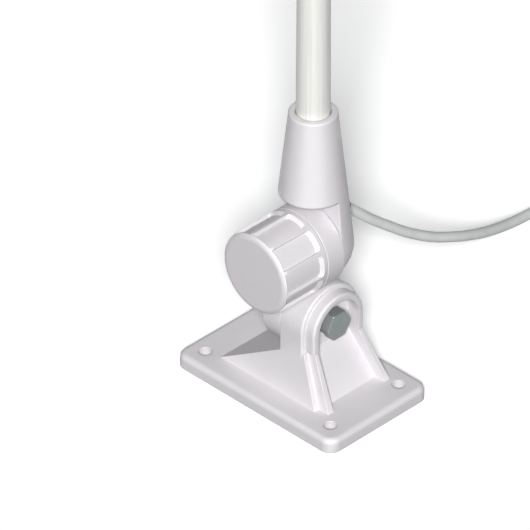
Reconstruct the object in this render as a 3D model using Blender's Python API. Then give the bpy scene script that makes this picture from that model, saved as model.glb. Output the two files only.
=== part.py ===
"""Marine VHF whip antenna on a two-axis ratchet mount, with its cable coiled beside it.

Metres, +Z up. The origin is the middle of the base plate's underside.
+X runs along the plate's long side and the tilt bolt, +Y is the side where the cable leaves.
"""

import math

import bmesh
import bpy
from mathutils import Matrix, Vector

# Clearances
GAP = 0.0003
BITE = 0.001

# Base plate
PLATE_LENGTH = 0.100
PLATE_WIDTH = 0.064
PLATE_THICKNESS = 0.007
PLATE_CORNER_RADIUS = 0.006
PLATE_EDGE_RADIUS = 0.0026
SCREW_INSET = 0.010
SCREW_HOLE_DIAMETER = 0.0065

# Tilt pivot on the base
PIVOT_Y = 0.0026
PIVOT_Z = 0.040
EAR_RADIUS = 0.0184
EAR_BACK_X = 0.0018
EAR_THICKNESS = 0.0137
RIM_RADIUS = 0.0162
RIM_DEPTH = 0.0055
RIM_WALL = 0.0034
RECESS_DEPTH = 0.0073
EAR_EDGE = 0.0013
RIM_EDGE = 0.0016

# Hump under the ear
SHOULDER_Z = 0.0317
SHOULDER_HALF_WIDTH = 0.0175
HUMP_SIDE_MARGIN = 0.0093
HUMP_FRONT_MARGIN = 0.0220
RAMP_MARGIN = 0.0180
RAMP_ANGLE = math.radians(30.0)
RIB_MARGIN = 0.0160
RIB_STEP = 0.0029
RIB_SIDE_INSET = 0.0013
RIB_FRONT_INSET = 0.0007
CORE_WALL = 0.0035
CORE_WEB = 0.0030
CORE_TOP_Z = 0.0240

# Ratchet teeth
TOOTH_COUNT = 24
TOOTH_DEPTH = 0.0012
TOOTH_INNER_RADIUS = 0.0088
TOOTH_OUTER_RADIUS = 0.0150
TOOTH_SINK = 0.0002

# Tilt bolt, its washers and nut
BOLT_DIAMETER = 0.008
BOLT_HEAD_FLATS = 0.013
BOLT_HEAD_HEIGHT = 0.0053
WASHER_DIAMETER = 0.0130
WASHER_THICKNESS = 0.0016
NUT_FLATS = 0.013
NUT_HEIGHT = 0.0062

# Swivel between the two axes
BARREL_LENGTH = 0.0115
BARREL_RADIUS = 0.0180
BOSS_RADIUS = 0.0203
LAY_X = 0.0050
LAY_Z = 0.0792
BOSS_FRONT_Y = -0.0087
BOSS_BACK_Y = 0.0016
EDGE_CHAMFER = 0.0004

# Hand knob
KNOB_RADIUS = 0.0203
KNOB_FACE_Y = -0.0356
KNOB_EDGE = 0.0030
KNOB_WALL = 0.0030
KNOB_HUB_RADIUS = 0.0110
FLUTE_COUNT = 10
FLUTE_WIDTH = math.radians(31.7)
FLUTE_PHASE = math.radians(44.0)
FLUTE_DEPTH = 0.0015
FLUTE_CORNER = 0.0020
FLUTE_FRONT_LAND = 0.0014
FLUTE_BACK_LAND = 0.0022
FLUTE_RUN_OUT = 0.0015
INSERT_FLATS = 0.0135
INSERT_LENGTH = 0.0170
THRUST_WASHER_DIAMETER = 0.0240
THRUST_WASHER_THICKNESS = 0.0015

# Clamp stud moulded into the ferrule's lug
STUD_DIAMETER = 0.008
STUD_HEAD_FLATS = 0.013
STUD_HEAD_HEIGHT = 0.005
STUD_HEAD_DEPTH = 0.0068

# Ferrule
WHIP_Y = 0.0016
FERRULE_TOP_Z = 0.1494
FERRULE_TOP_RADIUS = 0.0111
FERRULE_AXIS_RADIUS = 0.0187
FERRULE_CUT_Z = 0.1071
DOME_STEPS = 9
SOCKET_DEPTH = 0.0340

# Whip
WHIP_BASE_DIAMETER = 0.0156
WHIP_TIP_DIAMETER = 0.0067
WHIP_WALL = 0.00135
OVERALL_HEIGHT = 1.250

# Tip cap
CAP_HEIGHT = 0.0121
CAP_TOP_DIAMETER = 0.0103
CAP_FOOT_DIAMETER = 0.0064
CAP_EDGE = 0.0008
CAP_STEM_DIAMETER = 0.0034
CAP_STEM_LENGTH = 0.0080

# Radiating element inside the whip
SLEEVE_LIFT = 0.0186
SLEEVE_LENGTH = 0.435
SLEEVE_CLEARANCE = 0.0010
SLEEVE_WALL = 0.0005
ELEMENT_DIAMETER = 0.0020
ELEMENT_TIP_CLEARANCE = 0.185
FEED_STUB = 0.004
SPACER_LENGTH = 0.010
SLEEVE_SPACERS_AT = (0.14, 0.81)
ELEMENT_SPACERS_AT = (0.16, 0.52, 0.88)

# Cable and its grommet
CABLE_DIAMETER = 0.0050
GROMMET_SEAT = 0.0035
GROMMET_NOSE = 0.0045
GROMMET_DIAMETER = 0.0078
GROMMET_TIP_DIAMETER = 0.0064
CABLE_JOINT_ALONG = 0.0010

# Coil of spare cable, with its tie
COIL_X = 0.022
COIL_Y = 0.191
COIL_INNER_TURN = 0.0205
COIL_COLUMNS = 4
COIL_LAYERS = 6
COIL_PITCH = 0.0052
COIL_BOTTOM_Z = 0.0015
COIL_ROUNDING = 0.0022
TIE_WIDTH = 0.008
TIE_THICKNESS = 0.0010

# Plug on the cable's far end
PLUG_X = 0.061
PLUG_REAR_Y = 0.145
REDUCER_FLANGE_DIAMETER = 0.0116
REDUCER_FLANGE_LENGTH = 0.0035
REDUCER_STEM_DIAMETER = 0.0092
REDUCER_STEM_LENGTH = 0.0065
PLUG_BARREL_DIAMETER = 0.0132
PLUG_BARREL_LENGTH = 0.0092
PLUG_FLANGE_DIAMETER = 0.0152
PLUG_FLANGE_LENGTH = 0.0025
PLUG_SHELL_DIAMETER = 0.0118
PLUG_SHELL_LENGTH = 0.0125
PLUG_SHELL_WALL = 0.0009
RING_DIAMETER = 0.0184
RING_LENGTH = 0.0200
RING_LIP = 0.0025
INSULATOR_LENGTH = 0.0070
PIN_DIAMETER = 0.0040
PIN_LENGTH = 0.0240
PIN_REACH = 0.0090

# How finely round shapes are divided
ROUND_STEPS = 64
SMALL_STEPS = 32
TINY_STEPS = 24

# Places worked out from the sizes above
HUMP_FOOT_HALF_WIDTH = PLATE_WIDTH / 2 - HUMP_SIDE_MARGIN
HUMP_FOOT_FRONT_X = PLATE_LENGTH / 2 - HUMP_FRONT_MARGIN
RAMP_FOOT_X = RAMP_MARGIN - PLATE_LENGTH / 2
RIB_FOOT_FRONT_X = PLATE_LENGTH / 2 - RIB_MARGIN
RIB_FOOT_HALF_WIDTH = HUMP_FOOT_HALF_WIDTH - RIB_STEP
SCREW_X = PLATE_LENGTH / 2 - SCREW_INSET
SCREW_Y = PLATE_WIDTH / 2 - SCREW_INSET
EAR_FRONT_X = EAR_BACK_X + EAR_THICKNESS
RIM_FRONT_X = EAR_FRONT_X + RIM_DEPTH
RECESS_FLOOR_X = RIM_FRONT_X - RECESS_DEPTH
RECESS_RADIUS = RIM_RADIUS - RIM_WALL
WASHER_BACK_X = RECESS_FLOOR_X + GAP
HEAD_BACK_X = WASHER_BACK_X + WASHER_THICKNESS + GAP
BARREL_FRONT_X = EAR_BACK_X - GAP
BARREL_BACK_X = BARREL_FRONT_X - BARREL_LENGTH
NUT_POCKET_DEPTH = NUT_HEIGHT + 2 * GAP
NUT_BACK_X = BARREL_BACK_X + GAP
BOLT_TIP_X = BARREL_BACK_X + GAP
KNOB_BACK_Y = BOSS_FRONT_Y - GAP
LUG_FRONT_Y = BOSS_BACK_Y + GAP
STUD_HEAD_Y = LUG_FRONT_Y + STUD_HEAD_DEPTH
FERRULE_SLOPE = (FERRULE_AXIS_RADIUS - FERRULE_TOP_RADIUS) / (FERRULE_TOP_Z - LAY_Z)
WHIP_BOTTOM_Z = FERRULE_TOP_Z - SOCKET_DEPTH + GAP
CAP_FOOT_Z = OVERALL_HEIGHT - CAP_HEIGHT
WHIP_TOP_Z = CAP_FOOT_Z - GAP
SLEEVE_BOTTOM_Z = FERRULE_TOP_Z + SLEEVE_LIFT
SLEEVE_TOP_Z = SLEEVE_BOTTOM_Z + SLEEVE_LENGTH
FEED_TOP_Z = SLEEVE_TOP_Z + FEED_STUB
ELEMENT_BOTTOM_Z = FEED_TOP_Z + GAP
ELEMENT_TOP_Z = WHIP_TOP_Z - ELEMENT_TIP_CLEARANCE
COIL_OUTER_TURN = COIL_INNER_TURN + (COIL_COLUMNS - 1) * COIL_PITCH
COIL_HEIGHT = COIL_LAYERS * COIL_PITCH
FLOOR_CABLE_Z = COIL_BOTTOM_Z + COIL_PITCH / 2
COIL_TOP_TURN_Z = COIL_BOTTOM_Z + COIL_HEIGHT - COIL_PITCH / 2
PLUG_Z = RING_DIAMETER / 2 + GAP

# Way of the cable out of the ferrule
PASSAGE_BEND_RADIUS = 0.012
PASSAGE_BEND_STEPS = 5
OUTLET_Y = 0.0186
OUTLET_Z = 0.0913
OUTLET_FALL = math.radians(41.5)

# Cable routes outside the ferrule, chosen by hand
DROP_ROUTE = [
    Vector((LAY_X, 0.0255, 0.0852)),
    Vector((LAY_X, 0.0382, 0.0734)),
    Vector((LAY_X, 0.0509, 0.0629)),
    Vector((LAY_X, 0.0611, 0.0548)),
    Vector((LAY_X, 0.0719, 0.0474)),
    Vector((LAY_X, 0.0808, 0.0420)),
    Vector((0.0048, 0.0903, 0.0372)),
    Vector((0.0036, 0.1025, 0.0312)),
    Vector((0.0006, 0.1180, 0.0238)),
    Vector((-0.0034, 0.1335, 0.0171)),
    Vector((-0.0075, 0.1490, 0.0112)),
    Vector((-0.0109, 0.1635, 0.0069)),
    Vector((-0.0132, 0.1775, 0.0047)),
    Vector((COIL_X - COIL_OUTER_TURN, COIL_Y, FLOOR_CABLE_Z)),
]
TAIL_ROUTE = [
    Vector((COIL_X + COIL_OUTER_TURN, COIL_Y, COIL_TOP_TURN_Z)),
    Vector((0.0584, 0.1800, 0.0288)),
    Vector((0.0592, 0.1690, 0.0240)),
    Vector((0.0602, 0.1590, 0.0165)),
    Vector((0.0609, 0.1510, 0.0111)),
    Vector((PLUG_X, PLUG_REAR_Y, PLUG_Z)),
    Vector((PLUG_X, PLUG_REAR_Y - REDUCER_FLANGE_LENGTH, PLUG_Z)),
]
CABLE_SPACING = 0.0105
LEAD_END_Y = 0.0460
RUN_END_Y = 0.1668
TAIL_START_Y = 0.1727


def clear_scene():
    for old in list(bpy.data.objects):
        bpy.data.objects.remove(old, do_unlink=True)


def material(name, colour, roughness, metallic=0.0):
    made = bpy.data.materials.new(name)
    made.use_nodes = True
    shader = made.node_tree.nodes["Principled BSDF"]
    shader.inputs["Base Color"].default_value = (*colour, 1.0)
    shader.inputs["Roughness"].default_value = roughness
    shader.inputs["Metallic"].default_value = metallic
    made.diffuse_color = (*colour, 1.0)
    return made


def axis_empty(name, place, parent=None):
    """An empty on a joint's axis, which carries the pieces that turn there."""
    made = bpy.data.objects.new(name, None)
    made.empty_display_size = 0.01
    made.location = place if parent is None else place - parent.matrix_world.translation
    made.parent = parent
    bpy.context.collection.objects.link(made)
    bpy.context.view_layer.update()
    return made


def finish_mesh(name, bm, look=None, carrier=None, smooth=True):
    """Closes a bmesh into an object, with its origin on the carrier's axis."""
    bmesh.ops.remove_doubles(bm, verts=bm.verts, dist=1e-7)
    bmesh.ops.recalc_face_normals(bm, faces=bm.faces)
    mesh = bpy.data.meshes.new(name)
    bm.to_mesh(mesh)
    bm.free()
    if smooth:
        mesh.shade_smooth()
        mesh.set_sharp_from_angle(angle=math.radians(32.0))
    if look is not None:
        mesh.materials.append(look)
    made = bpy.data.objects.new(name, mesh)
    bpy.context.collection.objects.link(made)
    if carrier is not None:
        mesh.transform(Matrix.Translation(-carrier.matrix_world.translation))
        made.parent = carrier
    return made


def as_helper(shape):
    """A cutter or a joined shape, which isn't a piece by itself."""
    shape.hide_render = True
    shape.display_type = "WIRE"
    return shape


def combine(target, shape, operation):
    as_helper(shape)
    step = target.modifiers.new(f"{operation.lower()}_{shape.name}", "BOOLEAN")
    step.operation = operation
    step.solver = "EXACT"
    step.object = shape


def join(target, shape):
    combine(target, shape, "UNION")


def cut(target, shape):
    combine(target, shape, "DIFFERENCE")


def along(axis, centre):
    """Matrix that stands local +Z along the axis at the centre, exact on the world axes."""
    up = Vector(axis)
    across = Vector((0, 1, 0)) if abs(up.x) > 0.9 else Vector((1, 0, 0))
    turn = Matrix((across, up.cross(across), up)).transposed().to_4x4()
    return Matrix.Translation(Vector(centre)) @ turn


def skin(bm, rows, closed):
    """Faces between neighbouring closed rows of points, with flat ends unless closed."""
    pairs = list(zip(rows, rows[1:]))
    if closed:
        pairs.append((rows[-1], rows[0]))
    else:
        bm.faces.new(rows[0])
        bm.faces.new(rows[-1])
    count = len(rows[0])
    for row, other in pairs:
        for k in range(count):
            m = (k + 1) % count
            bm.faces.new((row[k], row[m], other[m], other[k]))


def turned(name, profile, axis, centre, look=None, carrier=None, steps=ROUND_STEPS):
    """(radius, height) points turned about the axis; points on the axis stand for flat ends."""
    bm = bmesh.new()
    matrix = along(axis, centre)
    angles = [2 * math.pi * k / steps for k in range(steps)]
    rows = []
    for radius, height in profile:
        if radius > 0:
            circle = [(radius * math.cos(a), radius * math.sin(a), height) for a in angles]
            rows.append([bm.verts.new(matrix @ Vector(p)) for p in circle])
    skin(bm, rows, len(rows) == len(profile))
    return finish_mesh(name, bm, look, carrier)


def disc_profile(radius, low, high, chamfer=0.0, bore=0.0):
    """Profile of a disc or, with a bore, of a ring, with both outer edges chamfered."""
    inner = [(bore, high), (bore, low)] if bore else [(0, high), (0, low)]
    if chamfer == 0.0:
        return inner + [(radius, low), (radius, high)]
    return inner + [
        (radius - chamfer, low),
        (radius, low + chamfer),
        (radius, high - chamfer),
        (radius - chamfer, high),
    ]


def extruded(name, outline, axis, start, end, look=None, carrier=None):
    """A flat outline of 3-D points at start, pushed along the world axis to end."""
    bm = bmesh.new()
    direction = Vector(axis)
    low = [bm.verts.new(p + direction * start) for p in outline]
    high = [bm.verts.new(p + direction * end) for p in outline]
    bm.faces.new(low)
    bm.faces.new(high)
    for i in range(len(outline)):
        j = (i + 1) % len(outline)
        bm.faces.new((low[i], low[j], high[j], high[i]))
    return finish_mesh(name, bm, look, carrier)


def block(name, low, high, look=None, carrier=None):
    bm = bmesh.new()
    bmesh.ops.create_cube(bm, size=1.0)
    size = Vector(high) - Vector(low)
    bmesh.ops.scale(bm, vec=size, verts=bm.verts)
    bmesh.ops.translate(bm, vec=(Vector(high) + Vector(low)) / 2, verts=bm.verts)
    return finish_mesh(name, bm, look, carrier, smooth=False)


def hexagon(flats, axis, centre):
    """Corner points of a hexagon across the axis, with two flats facing up and down."""
    radius = flats / math.sqrt(3)
    matrix = along(axis, centre)
    angles = [k * math.pi / 3 for k in range(6)]
    return [matrix @ Vector((radius * math.cos(a), radius * math.sin(a), 0)) for a in angles]


def arc_points(radius, start, end, count):
    """Points (across, up) of an arc in degrees, both ends included."""
    steps = [math.radians(start + (end - start) * i / (count - 1)) for i in range(count)]
    return [(radius * math.cos(a), radius * math.sin(a)) for a in steps]


def tooth_ring(name, axis, centre, phase, carrier=None):
    """Cutter that leaves radial ratchet teeth in the face that the axis points out of."""
    bm = bmesh.new()
    rows = []
    for i in range(2 * TOOTH_COUNT):
        angle = phase + math.pi * i / TOOTH_COUNT
        floor = -TOOTH_SINK if i % 2 else -TOOTH_SINK - TOOTH_DEPTH
        a, b = math.cos(angle), math.sin(angle)
        inner, outer = TOOTH_INNER_RADIUS, TOOTH_OUTER_RADIUS
        corners = ((inner, BITE), (inner, floor), (outer, floor), (outer, BITE))
        rows.append([bm.verts.new((r * a, r * b, height)) for r, height in corners])
    skin(bm, rows, True)
    bmesh.ops.triangulate(bm, faces=bm.faces)
    bmesh.ops.transform(bm, matrix=along(axis, centre), verts=bm.verts)
    return finish_mesh(name, bm, carrier=carrier, smooth=False)


def tapered_block(name, outline, half_width, middle_y):
    """An outline of (x, z) points given a width across Y that depends on the height."""
    bm = bmesh.new()
    near = [bm.verts.new((x, middle_y - half_width(z), z)) for x, z in outline]
    far = [bm.verts.new((x, middle_y + half_width(z), z)) for x, z in outline]
    bm.faces.new(near)
    bm.faces.new(far)
    for i in range(len(outline)):
        j = (i + 1) % len(outline)
        bm.faces.new((near[i], near[j], far[j], far[i]))
    return finish_mesh(name, bm, smooth=False)


def between(z, low, high, at_low, at_high):
    return at_low + (at_high - at_low) * (z - low) / (high - low)


def hump_half_width(z):
    return between(z, PLATE_THICKNESS, SHOULDER_Z, HUMP_FOOT_HALF_WIDTH, SHOULDER_HALF_WIDTH)


def rib_half_width(z):
    return between(z, PLATE_THICKNESS, SHOULDER_Z, RIB_FOOT_HALF_WIDTH, RIM_RADIUS - RIB_SIDE_INSET)


def window_half_width(z):
    foot = RIB_FOOT_HALF_WIDTH - RIM_WALL
    return between(z, PLATE_THICKNESS, SHOULDER_Z, foot, RECESS_RADIUS)


def ramp_height(x):
    return PLATE_THICKNESS + (x - RAMP_FOOT_X) * math.tan(RAMP_ANGLE)


def front_x(z, top_x, foot_x):
    """Where a sloping front stands at a height, between the shoulder and the plate."""
    return between(z, PLATE_THICKNESS, SHOULDER_Z, foot_x, top_x)


def arch_outline(radius, foot_z):
    """A half circle over straight legs, across Y and Z, about the tilt pivot."""
    arc = arc_points(radius, 0, 180, 33)
    points = [Vector((0, PIVOT_Y + a, PIVOT_Z + u)) for a, u in arc]
    legs = [Vector((0, PIVOT_Y - radius, foot_z)), Vector((0, PIVOT_Y + radius, foot_z))]
    return points + legs


def plate(look):
    outline = []
    corner_x = PLATE_LENGTH / 2 - PLATE_CORNER_RADIUS
    corner_y = PLATE_WIDTH / 2 - PLATE_CORNER_RADIUS
    for quarter, (sx, sy) in enumerate(((1, 1), (-1, 1), (-1, -1), (1, -1))):
        for a, b in arc_points(PLATE_CORNER_RADIUS, 90 * quarter, 90 * quarter + 90, 7):
            outline.append(Vector((sx * corner_x + a, sy * corner_y + b, 0)))
    made = extruded("base_mount", outline, (0, 0, 1), 0, PLATE_THICKNESS, look)
    bm = bmesh.new()
    bm.from_mesh(made.data)
    rim = [e for e in bm.edges if all(v.co.z > PLATE_THICKNESS / 2 for v in e.verts)]
    bmesh.ops.bevel(
        bm, geom=rim, offset=PLATE_EDGE_RADIUS, segments=4, profile=0.5, affect="EDGES"
    )
    bm.to_mesh(made.data)
    bm.free()
    made.data.shade_smooth()
    made.data.set_sharp_from_angle(angle=math.radians(32.0))
    return made


def hump():
    inside_x = EAR_BACK_X + 2 * BITE
    sunk = PLATE_THICKNESS - BITE
    outline = [
        (RAMP_FOOT_X - BITE / math.tan(RAMP_ANGLE), sunk),
        (front_x(sunk, EAR_FRONT_X, HUMP_FOOT_FRONT_X), sunk),
        (EAR_FRONT_X, SHOULDER_Z),
        (inside_x, SHOULDER_Z),
        (inside_x, ramp_height(inside_x)),
    ]
    return tapered_block("hump", outline, hump_half_width, PIVOT_Y)


def rib_block():
    sunk = PLATE_THICKNESS - BITE
    top_x = RIM_FRONT_X - RIB_FRONT_INSET
    outline = [
        (HUMP_FOOT_FRONT_X - 2 * BITE, sunk),
        (front_x(sunk, top_x, RIB_FOOT_FRONT_X), sunk),
        (top_x, SHOULDER_Z),
        (EAR_FRONT_X - BITE, SHOULDER_Z),
    ]
    return tapered_block("rib_block", outline, rib_half_width, PIVOT_Y)


def window():
    """The sloping bay between the two ribs, below the recess."""
    land = PLATE_THICKNESS
    top = SHOULDER_Z + BITE
    outline = [
        (RECESS_FLOOR_X + GAP, SHOULDER_Z - 3 * BITE),
        (HUMP_FOOT_FRONT_X + EDGE_CHAMFER, land),
        (RIB_FOOT_FRONT_X + 4 * BITE, land),
        (RIM_FRONT_X + 4 * BITE, top),
        (RECESS_FLOOR_X + GAP, top),
    ]
    return tapered_block("window", outline, window_half_width, PIVOT_Y)


def core_pockets():
    """Four moulding pockets under the hump, split by a cross of two webs."""
    ceiling = min(CORE_TOP_Z, SHOULDER_Z - CORE_WALL)
    back_x = RAMP_FOOT_X + CORE_WALL / math.sin(RAMP_ANGLE) + CORE_WALL
    wall_x = back_x + (ceiling - 2 * BITE) / math.tan(RAMP_ANGLE) - PLATE_THICKNESS
    outline = [
        (back_x, -BITE),
        (HUMP_FOOT_FRONT_X - CORE_WALL, -BITE),
        (front_x(ceiling, EAR_FRONT_X, HUMP_FOOT_FRONT_X) - 2 * CORE_WALL, ceiling),
        (min(wall_x, EAR_BACK_X + CORE_WALL), ceiling),
    ]
    pockets = tapered_block(
        "core_pockets", outline, lambda z: hump_half_width(z) - CORE_WALL, PIVOT_Y
    )
    reach = PLATE_LENGTH
    cross = (
        ("web_along", (reach, CORE_WEB / 2)),
        ("web_across", (CORE_WEB / 2, reach)),
    )
    for name, (half_x, half_y) in cross:
        web = block(name, (-half_x, -half_y, -reach), (half_x, half_y, reach))
        cut(pockets, web)
    return pockets


def screw_holes():
    bm = bmesh.new()
    for sx in (-1, 1):
        for sy in (-1, 1):
            place = (sx * SCREW_X, sy * SCREW_Y, PLATE_THICKNESS / 2)
            bmesh.ops.create_cone(
                bm,
                cap_ends=True,
                segments=SMALL_STEPS,
                radius1=SCREW_HOLE_DIAMETER / 2,
                radius2=SCREW_HOLE_DIAMETER / 2,
                depth=2 * PLATE_THICKNESS,
                matrix=Matrix.Translation(place),
            )
    return finish_mesh("screw_holes", bm)


def rounded_arch(name, outline, start, end, edge):
    """An arch block along X, with its outer edge rounded on its front face."""
    made = extruded(name, outline, (1, 0, 0), start, end)
    foot = min(p.z for p in outline)
    bm = bmesh.new()
    bm.from_mesh(made.data)
    front = [
        e
        for e in bm.edges
        if all(abs(v.co.x - end) < GAP for v in e.verts)
        and max(v.co.z for v in e.verts) > foot + GAP
    ]
    bmesh.ops.bevel(bm, geom=front, offset=edge, segments=3, profile=0.5, affect="EDGES")
    bm.to_mesh(made.data)
    bm.free()
    return made


def base_mount(look):
    made = plate(look)
    join(made, hump())
    ear_foot = SHOULDER_Z - 6 * BITE
    ear = arch_outline(EAR_RADIUS, ear_foot)
    join(made, rounded_arch("ear", ear, EAR_BACK_X, EAR_FRONT_X, EAR_EDGE))
    rim = arch_outline(RIM_RADIUS, SHOULDER_Z - BITE / 2)
    join(made, rounded_arch("rim", rim, EAR_FRONT_X - BITE, RIM_FRONT_X, RIM_EDGE))
    join(made, rib_block())
    recess = arch_outline(RECESS_RADIUS, SHOULDER_Z - 2 * BITE)
    cut(made, extruded("recess", recess, (1, 0, 0), RECESS_FLOOR_X, RIM_FRONT_X + BITE))
    cut(made, window())
    centre = (0, PIVOT_Y, PIVOT_Z)
    relief = disc_profile(BARREL_RADIUS + 2 * GAP, 2 * BARREL_BACK_X, EAR_BACK_X)
    cut(made, turned("swivel_relief", relief, (1, 0, 0), centre, steps=ROUND_STEPS))
    hole = disc_profile(BOLT_DIAMETER / 2 + GAP, BARREL_BACK_X, RIM_FRONT_X)
    cut(made, turned("bolt_hole", hole, (1, 0, 0), centre, steps=SMALL_STEPS))
    cut(made, screw_holes())
    cut(made, core_pockets())
    face = (EAR_BACK_X, PIVOT_Y, PIVOT_Z)
    cut(made, tooth_ring("ear_teeth", (-1, 0, 0), face, math.pi / TOOTH_COUNT))
    return made


def chamfered_hexagon(name, flats, axis, centre, start, end, chamfer, look, carrier=None):
    """A hexagon bar along the axis whose corners are turned off at its far end."""
    direction = Vector(axis)
    outline = hexagon(flats, axis, centre)
    made = extruded(name, outline, axis, start, end, look, carrier)
    limit = flats / math.sqrt(3) + chamfer
    profile = [
        (0, start - BITE),
        (limit, start - BITE),
        (limit, end - 1.7 * chamfer),
        (limit - 2.2 * chamfer, end + 0.1 * chamfer),
        (0, end + 0.1 * chamfer),
    ]
    cone = turned(f"{name}_corners", profile, direction, centre, None, carrier, SMALL_STEPS)
    combine(made, cone, "INTERSECT")
    return made


def pivot_bolt(look):
    centre = (0, PIVOT_Y, PIVOT_Z)
    head_front = HEAD_BACK_X + BOLT_HEAD_HEIGHT
    made = chamfered_hexagon(
        "pivot_bolt", BOLT_HEAD_FLATS, (1, 0, 0), centre, HEAD_BACK_X, head_front, GAP, look
    )
    shank = disc_profile(BOLT_DIAMETER / 2, BOLT_TIP_X, HEAD_BACK_X + BITE, EDGE_CHAMFER)
    join(made, turned("bolt_shank", shank, (1, 0, 0), centre, steps=SMALL_STEPS))
    return made


def ring(name, outer, bore, axis, centre, low, high, look, carrier=None, chamfer=0.0):
    profile = disc_profile(outer / 2, low, high, chamfer, bore / 2)
    return turned(name, profile, axis, centre, look, carrier, SMALL_STEPS)


def bolt_hardware(look, tilt_axis):
    centre = (0, PIVOT_Y, PIVOT_Z)
    bore = BOLT_DIAMETER + 2 * GAP
    low = WASHER_BACK_X
    high = low + WASHER_THICKNESS
    ring("head_washer", WASHER_DIAMETER, bore, (1, 0, 0), centre, low, high, look)
    nut = extruded(
        "pivot_nut",
        hexagon(NUT_FLATS, (1, 0, 0), centre),
        (1, 0, 0),
        NUT_BACK_X,
        NUT_BACK_X + NUT_HEIGHT,
        look,
        tilt_axis,
    )
    hole = disc_profile(bore / 2, NUT_BACK_X - BITE, NUT_BACK_X + NUT_HEIGHT + BITE)
    cut(nut, turned("nut_bore", hole, (1, 0, 0), centre, None, tilt_axis, SMALL_STEPS))


def swivel_body(look, tilt_axis):
    pivot = (0, PIVOT_Y, PIVOT_Z)
    hub = (LAY_X, 0, LAY_Z)
    barrel = disc_profile(BARREL_RADIUS, BARREL_BACK_X, BARREL_FRONT_X, EDGE_CHAMFER)
    made = turned("swivel_body", barrel, (1, 0, 0), pivot, look, tilt_axis)
    neck = block(
        "neck",
        (BARREL_BACK_X + BITE, BOSS_FRONT_Y + BITE, PIVOT_Z + BOLT_DIAMETER),
        (BARREL_FRONT_X - BITE / 2, BOSS_BACK_Y - BITE, LAY_Z - STUD_DIAMETER),
        carrier=tilt_axis,
    )
    join(made, neck)
    boss = disc_profile(BOSS_RADIUS, BOSS_FRONT_Y, BOSS_BACK_Y, EDGE_CHAMFER / 2)
    join(made, turned("boss", boss, (0, 1, 0), hub, None, tilt_axis))
    bolt_hole = disc_profile(BOLT_DIAMETER / 2 + GAP, 2 * BARREL_BACK_X, RIM_FRONT_X)
    cut(made, turned("barrel_bore", bolt_hole, (1, 0, 0), pivot, None, tilt_axis, SMALL_STEPS))
    pocket = extruded(
        "nut_pocket",
        hexagon(NUT_FLATS + 2 * GAP, (1, 0, 0), pivot),
        (1, 0, 0),
        BARREL_BACK_X - BITE,
        BARREL_BACK_X + NUT_POCKET_DEPTH,
        carrier=tilt_axis,
    )
    cut(made, pocket)
    stud_hole = disc_profile(STUD_DIAMETER / 2 + GAP, KNOB_FACE_Y, 2 * BOSS_BACK_Y)
    cut(made, turned("boss_bore", stud_hole, (0, 1, 0), hub, None, tilt_axis, SMALL_STEPS))
    seat = disc_profile(
        THRUST_WASHER_DIAMETER / 2 + GAP,
        BOSS_FRONT_Y - BITE,
        BOSS_FRONT_Y + THRUST_WASHER_THICKNESS + GAP,
    )
    cut(made, turned("washer_seat", seat, (0, 1, 0), hub, None, tilt_axis))
    barrel_face = (BARREL_FRONT_X, PIVOT_Y, PIVOT_Z)
    cut(made, tooth_ring("barrel_teeth", (1, 0, 0), barrel_face, 0.0, tilt_axis))
    boss_face = (LAY_X, BOSS_BACK_Y, LAY_Z)
    cut(made, tooth_ring("boss_teeth", (0, 1, 0), boss_face, 0.0, tilt_axis))
    return made


def thrust_washer(look, tilt_axis):
    low = BOSS_FRONT_Y
    ring(
        "thrust_washer",
        THRUST_WASHER_DIAMETER,
        STUD_DIAMETER + 2 * GAP,
        (0, 1, 0),
        (LAY_X, 0, LAY_Z),
        low,
        low + THRUST_WASHER_THICKNESS,
        look,
        tilt_axis,
    )


def flute(index, knob_axis):
    """Cutter for one shallow grip flute, which slopes out at its rounded rear end."""
    front = KNOB_FACE_Y + FLUTE_FRONT_LAND
    back = KNOB_BACK_Y - FLUTE_BACK_LAND
    middle = FLUTE_PHASE + 2 * math.pi * index / FLUTE_COUNT
    corner = FLUTE_CORNER / KNOB_RADIUS
    slope = FLUTE_RUN_OUT / FLUTE_DEPTH
    steps = [0.0, 0.12, 0.4, 1.0]
    offsets = [corner * s for s in steps]
    stations = offsets + [FLUTE_WIDTH / 2] + [FLUTE_WIDTH - o for o in reversed(offsets)]
    bm = bmesh.new()
    rows = []
    for offset in stations:
        edge = min(offset, FLUTE_WIDTH - offset)
        share = max(0.0, 1 - edge / corner)
        inset = FLUTE_CORNER * (1 - math.sqrt(max(0.0, 1 - share * share)))
        angle = middle - FLUTE_WIDTH / 2 + offset
        corners = []
        for radius, y in (
            (KNOB_RADIUS - FLUTE_DEPTH, front),
            (KNOB_RADIUS - FLUTE_DEPTH, back - inset - FLUTE_RUN_OUT),
            (KNOB_RADIUS + BITE, back - inset + slope * BITE),
            (KNOB_RADIUS + BITE, front),
        ):
            x = LAY_X + radius * math.cos(angle)
            z = LAY_Z + radius * math.sin(angle)
            corners.append(bm.verts.new((x, y, z)))
        rows.append(corners)
    skin(bm, rows, False)
    return finish_mesh(f"flute_{index}", bm, carrier=knob_axis, smooth=False)


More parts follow.
